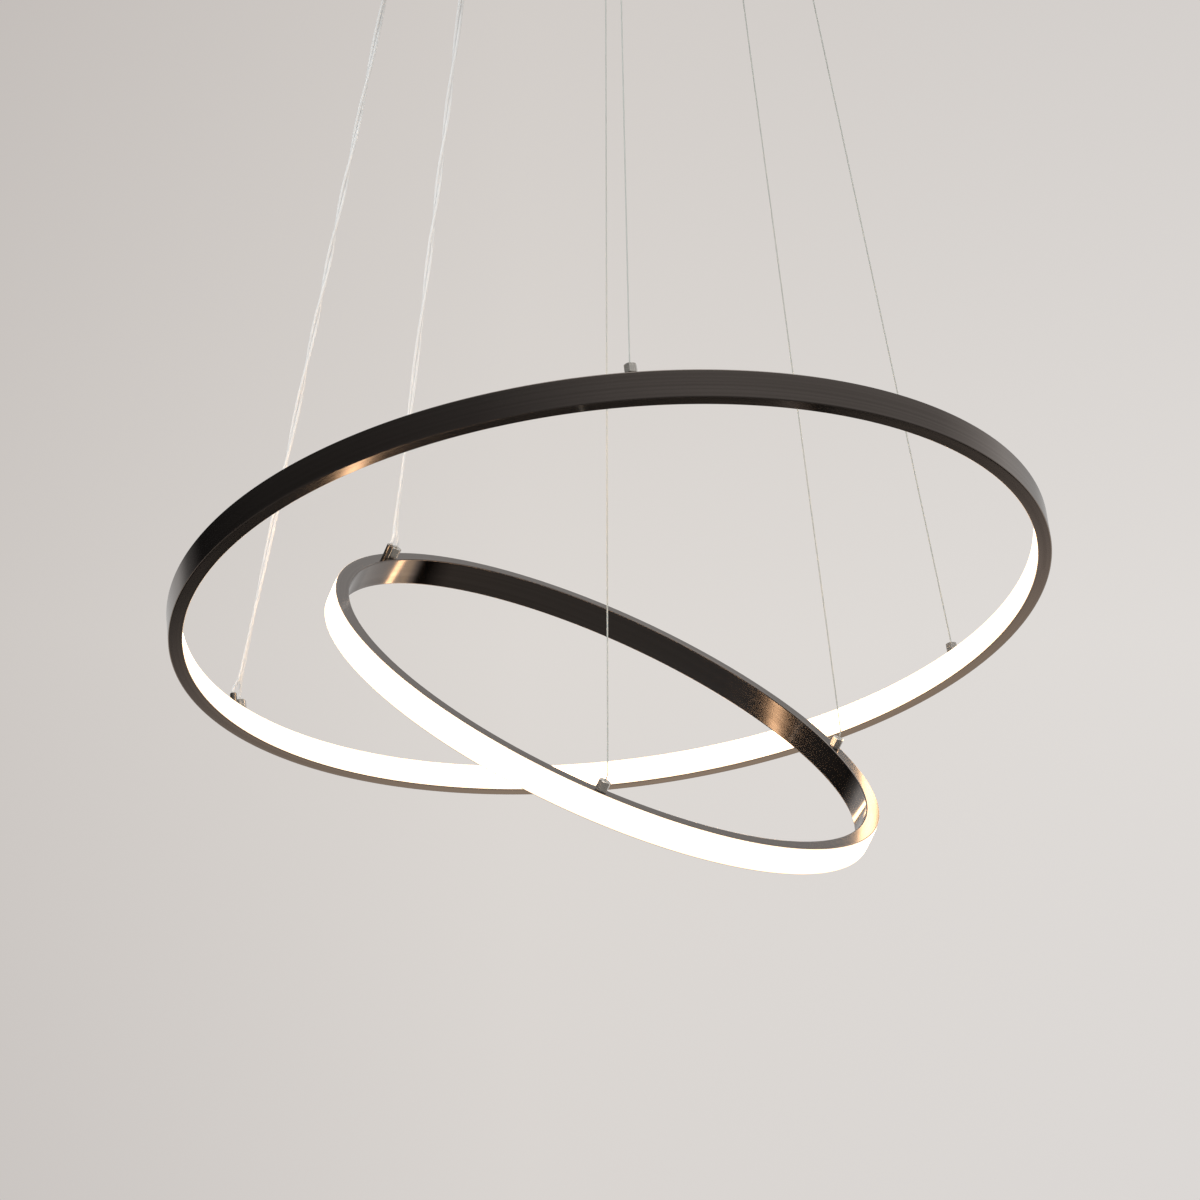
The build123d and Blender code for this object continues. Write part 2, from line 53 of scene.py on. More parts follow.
cameraData.clip_end = 60
camera = bpy.data.objects.new("camera", cameraData)
camera.location = cameraView["place"]
camera.rotation_euler = (radians(90 + cameraView["pitch"]), 0, 0)
bpy.context.scene.collection.objects.link(camera)
bpy.context.scene.camera = camera


def unit(vectors):
    # every vector divided by its own length
    return vectors / np.linalg.norm(vectors, axis=-1, keepdims=True)


def gridFaces(rows, columns, wrapRows, wrapColumns):
    # index arrays of the quads between neighbouring points of a rows by columns grid
    a = np.arange(rows if wrapRows else rows - 1)[:, None]
    b = np.arange(columns if wrapColumns else columns - 1)[None, :]
    nextA, nextB = (a + 1) % rows, (b + 1) % columns
    corners = [a * columns + b, nextA * columns + b, nextA * columns + nextB, a * columns + nextB]
    steps = [(a, b), (a + 1, b), (a + 1, b + 1), (a, b + 1)]
    faces = np.stack([np.broadcast_to(c, (a.size, b.size)).ravel() for c in corners], 1)
    places = np.stack([np.stack(np.broadcast_arrays(*s), -1).reshape(-1, 2) for s in steps], 1)
    return faces, places


def makeMesh(name, points, faces, uv=None, smooth=True):
    # one mesh from whole arrays; its quads turn round if the volume that they enclose, added up
    # from each quad's two triangles, comes out negative
    first, second, third, fourth = (points[faces[:, k]] for k in range(4))
    volume = (first * np.cross(second - first, third - first)).sum()
    volume += (first * np.cross(third - first, fourth - first)).sum()
    if volume < 0:
        faces = faces[:, ::-1]
        uv = None if uv is None else uv[:, ::-1]
    mesh = bpy.data.meshes.new(name)
    mesh.from_pydata(points, [], faces)
    if uv is not None:
        mesh.uv_layers.new(name="UVMap").uv.foreach_set("vector", uv.astype(np.float32).ravel())
    mesh.polygons.foreach_set("use_smooth", np.full(len(faces), smooth))
    mesh.validate()
    mesh.update()
    piece = bpy.data.objects.new(name, mesh)
    bpy.context.scene.collection.objects.link(piece)
    return piece


def finishPiece(piece, material, slot, body, *replaced):
    # material, slot (which is not used), the body that it rides on (None where it rides on none) and the
    # solids it stands for
    piece.data.materials.append(material)
    if body:
        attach(piece, body)
    if replaced:
        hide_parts(*replaced)
    return piece


def roundedProfile(corners, radii, steps=4, support=0.0001):
    # closed outline: each corner gives way to an arc that touches both of its sides, with one more point
    # on either side of it that keeps the flat faces' shading flat
    corners = np.array(corners, float)
    before = unit(np.roll(corners, 1, 0) - corners)
    after = unit(np.roll(corners, -1, 0) - corners)
    radii = np.array(radii, float)[:, None]
    half = np.arccos(np.clip((before * after).sum(1), -1, 1))[:, None] / 2
    reach = radii / np.tan(half)
    centre = corners + unit(before + after) * radii / np.sin(half)
    start, stop = corners + before * reach - centre, corners + after * reach - centre
    share = np.linspace(0, 1, steps)[None, :, None]
    arc = unit(start[:, None] * (1 - share) + stop[:, None] * share + 1e-12) * radii[:, None]
    beside = [(centre + end + way * support)[:, None] for end, way in ((start, before), (stop, after))]
    return np.concatenate([beside[0], centre[:, None] + arc, beside[1]], 1).reshape(-1, 2)


def sweepRing(plane, outline, segments):
    # the outline's (radius, height) turned about the plane's axis: origin + radial * radius + axis * height
    origin, xAxis, yAxis, zAxis = plane
    turn = np.linspace(0, 2 * pi, segments, endpoint=False)[:, None, None]
    radial = np.cos(turn) * xAxis + np.sin(turn) * yAxis
    points = origin + radial * outline[None, :, :1] + zAxis * outline[None, :, 1:]
    faces, places = gridFaces(segments, len(outline), True, True)
    sides = np.linalg.norm(np.roll(outline, -1, 0) - outline, axis=1)
    along = np.concatenate([[0], np.cumsum(sides)])
    uv = np.stack([places[..., 0] * 2 * pi * outline[:, 0].mean() / segments, along[places[..., 1]]], -1)
    return points.reshape(-1, 3), faces, uv


def runAlong(path):
    # distance from the path's start, added up from point to point
    return np.concatenate([[0], np.cumsum(np.linalg.norm(np.diff(path, axis=0), axis=1))])


def readAt(path, places, wanted):
    # the path's three coordinates at the wanted places, between its points' own places
    return np.stack([np.interp(wanted, places, path[:, k]) for k in range(3)], 1)


def lineFrames(path, reference):
    # tangent by central differences, then two directions square to it from one fixed reference
    tangent = unit(np.gradient(path, axis=0))
    side = unit(np.cross(tangent, reference))
    return tangent, side, np.cross(side, tangent)


def tubeRows(path, reference, radius, sides):
    # circle of the given radius carried along the path, square to it
    _, side, up = lineFrames(path, reference)
    turn = np.linspace(0, 2 * pi, sides, endpoint=False)[None, :, None]
    return path[:, None] + radius * (np.cos(turn) * side[:, None] + np.sin(turn) * up[:, None])


def makeTubes(name, tubes):
    # several tubes in one mesh; each end closes with one more ring, drawn in to the end's middle
    # and merged there to a single point
    points, faces, uvs, ends, count = [], [], [], [], 0
    for rows in tubes:
        caps = [np.broadcast_to(rows[end].mean(0), rows[end].shape) for end in (0, -1)]
        rows = np.concatenate([caps[0][None], rows, caps[1][None]])
        quads, places = gridFaces(len(rows), rows.shape[1], False, True)
        along = runAlong(rows.mean(1))
        uvs.append(np.stack([along[places[..., 0]], places[..., 1] / rows.shape[1]], -1))
        points.append(rows.reshape(-1, 3))
        faces.append(quads + count)
        ends.extend(range(count, count + rows.shape[1]))
        count += len(points[-1])
        ends.extend(range(count - rows.shape[1], count))
    piece = makeMesh(name, np.concatenate(points), np.concatenate(faces), np.concatenate(uvs))
    build = bmesh.new()
    build.from_mesh(piece.data)
    build.verts.ensure_lookup_table()
    bmesh.ops.remove_doubles(build, verts=[build.verts[k] for k in ends], dist=0.0000001)
    build.to_mesh(piece.data)
    build.free()
    return piece


def splinePoints(name, controls, spacing):
    # the route's points as control points of one open NURBS spline, read back at even spacing
    curve = bpy.data.curves.new(name, "CURVE")
    curve.dimensions = "3D"
    curve.resolution_u = 24
    spline = curve.splines.new("NURBS")
    spline.points.add(len(controls) - 1)
    spline.points.foreach_set("co", np.column_stack([controls, np.ones(len(controls))]).ravel())
    spline.order_u = 3
    spline.use_endpoint_u = True
    holder = bpy.data.objects.new(name, curve)
    bpy.context.scene.collection.objects.link(holder)
    bpy.context.view_layer.update()
    mesh = bpy.data.meshes.new_from_object(holder.evaluated_get(bpy.context.evaluated_depsgraph_get()))
    read = np.empty(len(mesh.vertices) * 3)
    mesh.vertices.foreach_get("co", read)
    read = read.reshape(-1, 3)
    bpy.data.objects.remove(holder)
    bpy.data.meshes.remove(mesh)
    bpy.data.curves.remove(curve)
    run = runAlong(read)
    return readAt(read, run, np.linspace(0, run[-1], int(run[-1] / spacing) + 2)), run[-1]


class Wire:
    # one socket, with the operators that the materials use
    def __init__(self, graph, socket):
        self.graph, self.socket = graph, socket

    def maths(self, operation, first, second=None):
        values = {0: first} if second is None else {0: first, 1: second}
        return self.graph.add("ShaderNodeMath", values, operation=operation)

    def __add__(self, other):
        return self.maths("ADD", self, other)

    def __sub__(self, other):
        return self.maths("SUBTRACT", self, other)

    def __rsub__(self, other):
        return self.maths("SUBTRACT", other, self)

    def __mul__(self, other):
        return self.maths("MULTIPLY", self, other)

    def __pow__(self, other):
        return self.maths("POWER", self, other)

    def __abs__(self):
        return self.maths("ABSOLUTE", self)

    def above(self, other):
        return self.maths("GREATER_THAN", self, other)

    def between(self, low, high):
        # 0 below low, 1 above high, smooth between them
        values = {"Value": self, "From Min": low, "From Max": high}
        return self.graph.add("ShaderNodeMapRange", values, interpolation_type="SMOOTHSTEP")

    __radd__, __rmul__ = __add__, __mul__


class Graph:
    # the node tree of one material or of the world; add makes any node, with its settings first
    def __init__(self, owner):
        owner.use_nodes = True
        self.tree = owner.node_tree
        self.tree.nodes.clear()

    def add(self, kind, values=None, output=0, stops=None, **settings):
        node = self.tree.nodes.new(kind)
        for key, value in settings.items():
            setattr(node, key, value)
        for element, (place, colour) in zip(self.ramp(node, stops), stops or ()):
            element.position, element.color = place, (*colour, 1)
        for key, value in (values or {}).items():
            if isinstance(value, Wire):
                self.tree.links.new(value.socket, node.inputs[key])
            else:
                node.inputs[key].default_value = value
        return Wire(self, node.outputs[output]) if node.outputs else None

    def ramp(self, node, stops):
        # as many elements as there are stops
        if stops is None:
            return []
        while len(node.color_ramp.elements) < len(stops):
            node.color_ramp.elements.new(0.5)
        return node.color_ramp.elements

    def place(self, kind="Object"):
        return self.add("ShaderNodeTexCoord", output=kind)

    def split(self, vector):
        node = self.add("ShaderNodeSeparateXYZ", {0: vector}).socket.node
        return [Wire(self, node.outputs[k]) for k in range(3)]

    def noise(self, vector, scale, stretch=(1, 1, 1), detail=3.0):
        moved = self.add("ShaderNodeMapping", {"Vector": vector, "Scale": stretch})
        return self.add("ShaderNodeTexNoise", {"Vector": moved, "Scale": scale, "Detail": detail})

    def mixColours(self, share, first, second, blend="MIX"):
        values = {0: share, 6: first, 7: second}
        return self.add("ShaderNodeMix", values, output=2, data_type="RGBA", blend_type=blend)

    def bump(self, height, depth, strength):
        return self.add("ShaderNodeBump", {"Height": height, "Distance": depth, "Strength": strength})

    def surface(self, values):
        shader = self.add("ShaderNodeBsdfPrincipled", values)
        self.add("ShaderNodeOutputMaterial", {"Surface": shader}, is_active_output=True)


def newMaterial(name):
    # an empty material and its graph
    material = bpy.data.materials.new(name)
    return material, Graph(material)


def colour(red, green, blue):
    # opaque colour for a socket
    return (red, green, blue, 1.0)


titanium = {
    "light": (0.245, 0.214, 0.197), "dark": (0.2, 0.173, 0.158), "roughness": 0.125, "brushed": 0.8,
    "scratches": (9, 2600, 1), "streaks": (3, 620, 1), "clouds": (7, 90, 1), "uneven": 0.06, "depth": 0.000003,
}


def brushedMetal(name, look, circular=False):
    # fine scratches that run round the piece, with broad cloudy changes of gloss and tone
    material, g = newMaterial(name)
    if circular:  # round the canopy's axis: turn of the point, its distance from the axis and its height
        x, y, z = g.split(g.place())
        turn = g.add("ShaderNodeMath", {0: y, 1: x}, operation="ARCTAN2")
        across = (x * x + y * y) ** 0.5 + z
        place = g.add("ShaderNodeCombineXYZ", {0: turn * 0.15, 1: across})
    else:
        place = g.place("UV")
    scratches = g.noise(place, 1.0, look["scratches"], 5)
    streaks = g.noise(place, 1.0, look["streaks"], 3)
    clouds = g.noise(place, 1.0, look["clouds"], 2)
    uneven = look["uneven"]
    g.surface({
        "Base Color": g.mixColours(streaks.between(0.3, 0.7), colour(*look["dark"]), colour(*look["light"])),
        "Metallic": 1.0,
        "Roughness": look["roughness"] - uneven + scratches * uneven + clouds * uneven,
        "Anisotropic": look["brushed"],
        "Anisotropic Rotation": 0.25,
        "Normal": g.bump(scratches, look["depth"], 0.1),
    })
    return material


def platedMetal(name, tone, roughness, grain=900.0, spangle=0.0, metallic=1.0, specular=0.5):
    # smooth plating with the haze of handling, and a spangle of flat crystals where it is zinc
    material, g = newMaterial(name)
    place = g.place()
    haze = g.noise(place, grain, detail=4)
    base = colour(*tone)
    if spangle:
        cells = g.add("ShaderNodeTexVoronoi", {"Vector": place, "Scale": 160.0}, output="Color")
        base = g.mixColours(spangle, base, cells)
        base = g.add("ShaderNodeHueSaturation", {"Color": base, "Saturation": 0.0})
    g.surface({
        "Base Color": base,
        "Metallic": metallic,
        "Specular IOR Level": specular,
        "Roughness": roughness - 0.06 + haze * 0.12,
        "Normal": g.bump(haze, 0.000005, 0.1),
    })
    return material


def mouldedPlastic(name, tone, roughness, grain=2500.0, coat=0.0):
    # mould grain over a slightly uneven colour
    material, g = newMaterial(name)
    place = g.place()
    fine = g.noise(place, grain, detail=2)
    broad = g.noise(place, 60.0)
    darker = colour(*(0.86 * c for c in tone))
    g.surface({
        "Base Color": g.mixColours(broad, darker, colour(*tone)),
        "Roughness": roughness - 0.05 + fine * 0.1,
        "Coat Weight": coat,
        "Normal": g.bump(fine, 0.00003, 0.4),
    })
    return material


glowLook = {
    "base": (0.86, 0.84, 0.8), "tone": (1.0, 0.63, 0.34), "strength": 6.5, "lipStart": 0.8, "lipFall": 0.9,
    "pitch": 0.034, "beat": 0.03,
}


def litOpal(name, glow):
    # opal strip lit from behind: full in the middle, weaker at its lips, with the faintest beat of its chips
    material, g = newMaterial(name)
    along, across, _ = g.split(g.place("UV"))
    lips = abs(across).between(glow["lipStart"], 1.0)
    wave = g.add("ShaderNodeMath", {0: along * (2 * pi / glow["pitch"])}, operation="COSINE")
    level = ((1 - glow["beat"]) + wave * glow["beat"]) * (1 - lips * glow["lipFall"])
    tone = g.mixColours(level, colour(0, 0, 0), colour(*glow["tone"]))
    g.surface({
        "Base Color": colour(*glow["base"]),
        "Roughness": 0.5 + lips * 0.1,
        "Emission Color": tone,
        "Emission Strength": glow["strength"],
    })
    return material


jacketLook = {"tone": (0.94, 0.955, 0.97), "roughness": 0.22, "cover": 0.66, "milky": 0.14, "specular": 0.1}


def clearPlastic(name, look):
    # clear, slightly milky insulation with drawing lines along it; it lets the light through to its strands
    material, g = newMaterial(name)
    lines = g.noise(g.place("UV"), 1.0, (30, 40, 1), 2)
    g.surface({
        "Base Color": colour(*look["tone"]),
        "Roughness": look["roughness"] + lines * 0.06,
        "IOR": 1.46,
        "Specular IOR Level": look["specular"],
        "Alpha": look["cover"] + lines * look["milky"],
        "Normal": g.bump(lines, 0.00003, 0.3),
    })
    return material


leadLook = {
    "bracketTurn": 153.5, "split": 0.0065, "inner": (0.16, 0.045, 0.015), "outer": (0.012, 0.07, 0.28),
}


def leadPlastic(name, look):
    # two insulation colours, told apart by how far a lead lies from the bracket's middle line
    material, g = newMaterial(name)
    x, y, _ = g.split(g.place())
    turn = radians(look["bracketTurn"])
    lane = abs(x * -sin(turn) + y * cos(turn))
    fine = g.noise(g.place(), 1500.0)
    tone = g.mixColours(lane.above(look["split"]), colour(*look["inner"]), colour(*look["outer"]))
    g.surface({"Base Color": tone, "Roughness": 0.3 + fine * 0.12, "Normal": g.bump(fine, 0.00002, 0.2)})
    return material


# the strands of the wires and cores are so fine that together they look dull
platedLooks = {
    "polishedNickel": {"tone": (0.8, 0.77, 0.72), "roughness": 0.2, "metallic": 0.85},
    "darkNickel": {"tone": (0.42, 0.39, 0.36), "roughness": 0.24},
    "nickelledBrass": {"tone": (0.66, 0.55, 0.38), "roughness": 0.22},
    "wireSteel": {
        "tone": (0.55, 0.575, 0.555), "roughness": 0.5, "grain": 1400.0, "metallic": 0.0, "specular": 0.3},
    "tinnedCopper": {
        "tone": (0.95, 0.97, 0.985), "roughness": 0.5, "grain": 1400.0, "metallic": 0.0, "specular": 0.1},
    "zincPlate": {"tone": (0.58, 0.58, 0.56), "roughness": 0.34, "grain": 600.0, "spangle": 0.12},
    "springSteel": {"tone": (0.45, 0.45, 0.46), "roughness": 0.25},
}
plasticLooks = {
    "blackNylon": {"tone": (0.02, 0.02, 0.021), "roughness": 0.42},
    "softRubber": {"tone": (0.03, 0.03, 0.03), "roughness": 0.7, "grain": 1500.0},
    "whiteCase": {"tone": (0.76, 0.76, 0.74), "roughness": 0.45, "grain": 1200.0},
    "naturalNylon": {"tone": (0.66, 0.65, 0.6), "roughness": 0.38, "grain": 2000.0, "coat": 0.2},
    "whiteTape": {"tone": (0.8, 0.77, 0.68), "roughness": 0.5},
}
metal = {name: platedMetal(name, **look) for name, look in platedLooks.items()}
metal["ring"] = brushedMetal("brushedTitanium", titanium)
metal["canopy"] = brushedMetal("brushedTitaniumRound", titanium, circular=True)
plastic = {name: mouldedPlastic(name, **look) for name, look in plasticLooks.items()}
plastic["opal"] = litOpal("litOpal", glowLook)
plastic["clear"] = clearPlastic("clearInsulation", jacketLook)
plastic["leads"] = leadPlastic("leadInsulation", leadLook)
print("materials ready")


lineReference = np.array([cos(radians(243.5)), sin(radians(243.5)), 0.0])  # no line runs along this direction
wireLook = {"radius": 0.0005, "strands": 6, "lay": 0.012, "spacing": 0.0009, "sides": 6}
# each route runs from the nut's mouth up to the spare tail in the canopy; the third and fourth
# points hold the long straight run close to its two corners
wireRoutes = {
    "large_wire_front": {"length": 0.551, "points": [
        (0.01397, -0.27597, -0.50523), (0.0136, -0.27496, -0.502), (0.01354, -0.27399, -0.49843),
        (0.00567, -0.15348, -0.05879), (0.00557, -0.1519, -0.053), (0.00557, -0.1519, -0.014),
        (-0.0347, -0.13182, -0.014)]},
    "large_wire_right": {"length": 0.664, "points": [
        (0.24832, 0.16482, -0.61613), (0.24796, 0.16583, -0.61291), (0.24718, 0.1653, -0.60933),
        (0.12801, 0.08474, -0.05881), (0.12675, 0.08389, -0.053), (0.12675, 0.08389, -0.014),
        (0.08648, 0.10397, -0.014)]},
    "small_wire_front": {"length": 0.786, "points": [
        (-0.00099, -0.18361, -0.75163), (0.00037, -0.18497, -0.74883), (0.00037, -0.18452, -0.74516),
        (-0.00102, -0.09973, -0.05895), (-0.00104, -0.09899, -0.053), (-0.00104, -0.09899, -0.014),
        (-0.04131, -0.07892, -0.014)]},
    "small_wire_right": {"length": 0.728, "points": [
        (0.16328, 0.10571, -0.69101), (0.16464, 0.10435, -0.68821), (0.16417, 0.10406, -0.68456),
        (0.08332, 0.05511, -0.05893), (0.08255, 0.05464, -0.053), (0.08255, 0.05464, -0.014),
        (0.04228, 0.07472, -0.014)]},
}


def strandTubes(path, reference, count, lay, offset, radius, sides):
    # helices round the path: centre(s) + offset * (side * cos(turn) + up * sin(turn)), one turn per lay
    _, side, up = lineFrames(path, reference)
    run = runAlong(path)
    tubes = []
    for strand in range(count):
        turn = (2 * pi * run / lay + 2 * pi * strand / count)[:, None]
        centre = path + offset * (np.cos(turn) * side + np.sin(turn) * up)
        tubes.append(tubeRows(centre, reference, radius, sides))
    return tubes


for node, route in wireRoutes.items():
    w = wireLook
    path, length = splinePoints(node + "_route", np.array(route["points"]), w["spacing"])
    strand = w["radius"] / 3
    tubes = strandTubes(path, lineReference, w["strands"], w["lay"], 2 * strand, strand, w["sides"])
    ring, _, line = node.split("_")
    wire = makeTubes(ring + "Wire" + line.capitalize(), tubes)
    finishPiece(wire, metal["wireSteel"], "steel_wire", "canopy" if line == "right" else None, node)
    if line == "front":
        ring + "_ring"
        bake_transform(wire)
    print(node, "is", round(length, 4), "m long")


flexLook = {
    "coreRadius": 0.0011, "spacing": 0.0015, "sides": 14, "conductor": 0.00082, "conductorLay": 0.03,
    "strands": 6, "strandSides": 5, "webHeight": 0.0006, "webLap": 0.00012, "joined": 0.00275, "ends": 0.022,
    "easing": 0.6,
}
# the two cores of each flex, from their nut and barrel up to the terminal block
flexRoutes = {
    "large_cord": {"length": 0.67, "turns": 4, "points": (
        [(-0.25958, 0.12668, -0.66192), (-0.26003, 0.12791, -0.65798), (-0.259, 0.12256, -0.64875),
         (-0.25627, 0.12137, -0.63558), (-0.13822, 0.07003, -0.0657), (-0.13552, 0.06885, -0.053),
         (-0.13552, 0.06885, -0.0083)],
        [(-0.26382, 0.11951, -0.6579), (-0.26431, 0.12084, -0.65363), (-0.26002, 0.1205, -0.64875),
         (-0.25729, 0.11931, -0.63558), (-0.13924, 0.06797, -0.0657), (-0.13654, 0.06679, -0.053),
         (-0.13654, 0.06679, -0.0083)])},
    "small_cord": {"length": 0.56, "turns": 3, "points": (
        [(-0.14615, 0.05704, -0.56352), (-0.14434, 0.05524, -0.55982), (-0.14619, 0.05314, -0.55203),
         (-0.14463, 0.05293, -0.53862), (-0.08957, 0.0454, -0.0659), (-0.08809, 0.0452, -0.053),
         (-0.08809, 0.0452, -0.0083)],
        [(-0.14935, 0.04827, -0.56318), (-0.14754, 0.04647, -0.55948), (-0.14721, 0.05108, -0.55203),
         (-0.14565, 0.05087, -0.53862), (-0.09059, 0.04334, -0.0659), (-0.08911, 0.04314, -0.053),
         (-0.08911, 0.04314, -0.0083)])},
}


def twistPair(first, second, turns, ends, easing):
    # both cores turn about their common middle line; the turning starts and stops smoothly, by a sine
    # of the share of the way, and stays off the two ends
    middle, arm = (first + second) / 2, (first - second) / 2
    tangent = unit(np.gradient(middle, axis=0))
    run = runAlong(middle)
    share = np.clip((run - ends) / (run[-1] - 2 * ends), 0, 1)
    share = share - np.sin(2 * pi * share) / (2 * pi) * easing
    turn = (2 * pi * turns * share)[:, None]
    along = (arm * tangent).sum(1, keepdims=True) * tangent
    turned = (arm - along) * np.cos(turn) + np.cross(tangent, arm) * np.sin(turn) + along
    return middle + turned, middle - turned


def webRows(first, second, look):
    # flat four-sided tube between the two cores wherever they lie side by side, let a little into both
    gap = second - first
    apart = np.linalg.norm(gap, axis=1)
    beside = apart < look["joined"]
    middle, across = ((first + second) / 2)[beside], unit(gap[beside])
    up = np.cross(across, unit(np.gradient(middle, axis=0)))
    half = apart[beside][:, None] / 2 - look["coreRadius"] + look["webLap"]
    corners = ((-1, -1), (1, -1), (1, 1), (-1, 1))
    return np.stack([middle + a * half * across + b * look["webHeight"] / 2 * up for a, b in corners], 1)


for node, route in flexRoutes.items():
    f = flexLook
    ring = node.split("_")[0]
    reads = [splinePoints(node + "_route", np.array(points), f["spacing"])[0] for points in route["points"]]
    wanted = np.linspace(0, 1, max(len(path) for path in reads))
    even = [readAt(path, np.linspace(0, 1, len(path)), wanted) for path in reads]
    cores = twistPair(*even, route["turns"], f["ends"], f["easing"])
    web = makeTubes(ring + "FlexWeb", [webRows(*cores, f)])
    finishPiece(web, plastic["clear"], "clear_flex", "canopy")
    for label, path, points in zip(("Hex", "Barrel"), cores, route["points"]):
        jacket = makeTubes(ring + "Flex" + label, [tubeRows(path, lineReference, f["coreRadius"], f["sides"])])
        strand = f["conductor"] / 3
        tubes = strandTubes(
            path, lineReference, f["strands"], f["conductorLay"], 2 * strand, strand, f["strandSides"])
        conductor = makeTubes(ring + "Conductor" + label, tubes)
        rider = "canopy" if label == "Hex" else None
        finishPiece(jacket, plastic["clear"], "clear_flex", rider, node)
        finishPiece(conductor, metal["tinnedCopper"], "clear_flex", rider)
        if label == "Barrel":
            for piece in (jacket, conductor):
                ring + "_ring"
                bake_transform(piece)
        [conductor, web] if label == "Hex" else [conductor]
print("wires and flexes made")


def ringPlane(drop, shift, tilt, lean):
    # origin and axes of a ring's plane: a level plane turned by the tilt about the level line across its lean
    hinge = np.array([cos(radians(lean + 90)), sin(radians(lean + 90)), 0.0])
    c, s = cos(radians(tilt)), sin(radians(tilt))
    spin = np.array([[0, -hinge[2], hinge[1]], [hinge[2], 0, -hinge[0]], [-hinge[1], hinge[0], 0]])
    axes = (np.eye(3) + s * spin + (1 - c) * spin @ spin).T
    return np.array([shift, 0.0, -drop]), axes[0], axes[1], axes[2]


ringLooks = {
    "large": {"radius": 0.3, "drop": 0.611, "shift": 0.0028, "tilt": 18.4, "lean": 110.1, "facesIn": True},
    "small": {"radius": 0.2, "drop": 0.683, "shift": -0.0016, "tilt": 34.6, "lean": -44.9, "facesIn": False},
}
profileLook = {
    "depth": 0.0095, "height": 0.0195, "web": 0.0015, "flange": 0.0012, "edge": 0.0007, "lip": 0.00024,
    "inside": 0.0002, "segments": 480, "diffuser": 0.0023, "proud": 0.0005, "lap": 0.0009, "gap": 0.0001,
    "crown": 0.00028,
}


def makeChannel(name, plane, back, way):
    # U of a back wall and two flanges, open on the side that way points to, with its corners rounded
    p = profileLook
    half, inner = p["height"] / 2, p["height"] / 2 - p["flange"]
    mouth, web = back + way * p["depth"], back + way * p["web"]
    corners = [
        (back, -half), (mouth, -half), (mouth, -inner), (web, -inner),
        (web, inner), (mouth, inner), (mouth, half), (back, half),
    ]
    outside, inside = [p["edge"], p["lip"], p["lip"]], [p["inside"], p["inside"]]
    radii = outside + inside + outside[::-1]
    points, faces, uv = sweepRing(plane, roundedProfile(corners, radii), p["segments"])
    return makeMesh(name, points, faces, uv)


def makeDiffuser(name, plane, back, way):
    # strip that laps over the profile's lips: its face stands at mouth + proud - crown * v to the sixth,
    # with v from -1 to 1 across it; v is also its second UV, and the back follows in six more points
    p = profileLook
    mouth = back + way * p["depth"]
    inner = p["height"] / 2 - p["flange"]
    v = np.linspace(-1, 1, 41)
    front = np.stack([mouth + way * (p["proud"] - p["crown"] * v ** 6), v * (inner + p["lap"])], 1)
    edge, rear, reach = mouth + way * p["gap"], mouth - way * p["diffuser"], inner - p["gap"]
    behind = [(edge, inner + p["lap"]), (edge, reach), (rear, reach)]
    outline = np.concatenate([front, behind, [(r, -h) for r, h in behind[::-1]]])
    points, faces, uv = sweepRing(plane, outline, p["segments"])
    _, places = gridFaces(p["segments"], len(outline), True, True)
    column = places[..., 1] % len(outline)
    uv[..., 1] = np.concatenate([v, [1, 1, 0.9, -0.9, -1, -1]])[column]
    return makeMesh(name, points, faces, uv)


def seatOn(plane, radius, phase):
    # the rim's top over the middle of the profile, with the outward, tangent and axis directions there
    origin, xAxis, yAxis, zAxis = plane
    outward = xAxis * cos(radians(phase)) + yAxis * sin(radians(phase))
    middle = origin + outward * (radius - profileLook["depth"] / 2) + zAxis * profileLook["height"] / 2
    return middle, outward, np.cross(zAxis, outward), zAxis


nutLook = {
    "flats": 0.0075, "turn": 15.0, "neck": 0.003, "neckHeight": 0.0008, "top": 0.0073, "chamfer": 0.0007,
    "lowChamfer": 0.00025, "cone": 2.4, "lowCut": 0.0001, "cornerCut": 0.00006, "mouthEdge": 0.0002,
    "bore": 0.0008, "coreBore": 0.00135, "thread": 0.0018, "cap": 0.0063, "around": 120,
}
barrelLook = {
    "radius": 0.0024, "top": 0.0098, "pitch": 0.009, "footEdge": 0.0002, "topEdge": 0.0005, "edge": 0.0001,
    "support": 0.00005,
}


def nutRows(seat, bore):
    # hexagon radius flat / cos(angle from the nearest flat), cut by a cone at the top and a small one below
    n = nutLook
    origin, outward, tangent, axis = seat
    turn = np.linspace(0, 2 * pi, n["around"], endpoint=False)
    fromFlat = (turn + radians(30 - n["turn"])) % (pi / 3) - pi / 6
    flat = n["flats"] / 2
    hexagon = np.minimum(flat / np.cos(fromFlat), flat / cos(pi / 6) - n["cornerCut"])
    heights = np.concatenate([
        np.linspace(n["neckHeight"], n["neckHeight"] + n["lowChamfer"], 3),
        np.linspace(n["top"] - n["chamfer"], n["top"], 6),
    ])
    topCone = flat - n["chamfer"] / 2 + (n["top"] - heights) * n["cone"]
    lowCone = flat + (heights - n["neckHeight"]) * n["cone"] - n["lowCut"]
    sides = np.minimum(hexagon[None], np.minimum(topCone, lowCone)[:, None])
    foot = np.array([(n["thread"], 0), (n["neck"], 0), (n["neck"], n["neckHeight"])])
    hole = np.array([
        (bore + n["mouthEdge"], n["top"]), (bore, n["top"] - n["mouthEdge"]),
        (bore, n["cap"]), (n["thread"], n["cap"]),
    ])
    radius = np.concatenate([
        np.repeat(foot[:, :1], n["around"], 1), sides, np.repeat(hole[:, :1], n["around"], 1),
    ])
    height = np.concatenate([foot[:, 1], heights, hole[:, 1]])
    radial = np.cos(turn)[:, None] * outward + np.sin(turn)[:, None] * tangent
    return origin + radius[..., None] * radial[None] + height[:, None, None] * axis


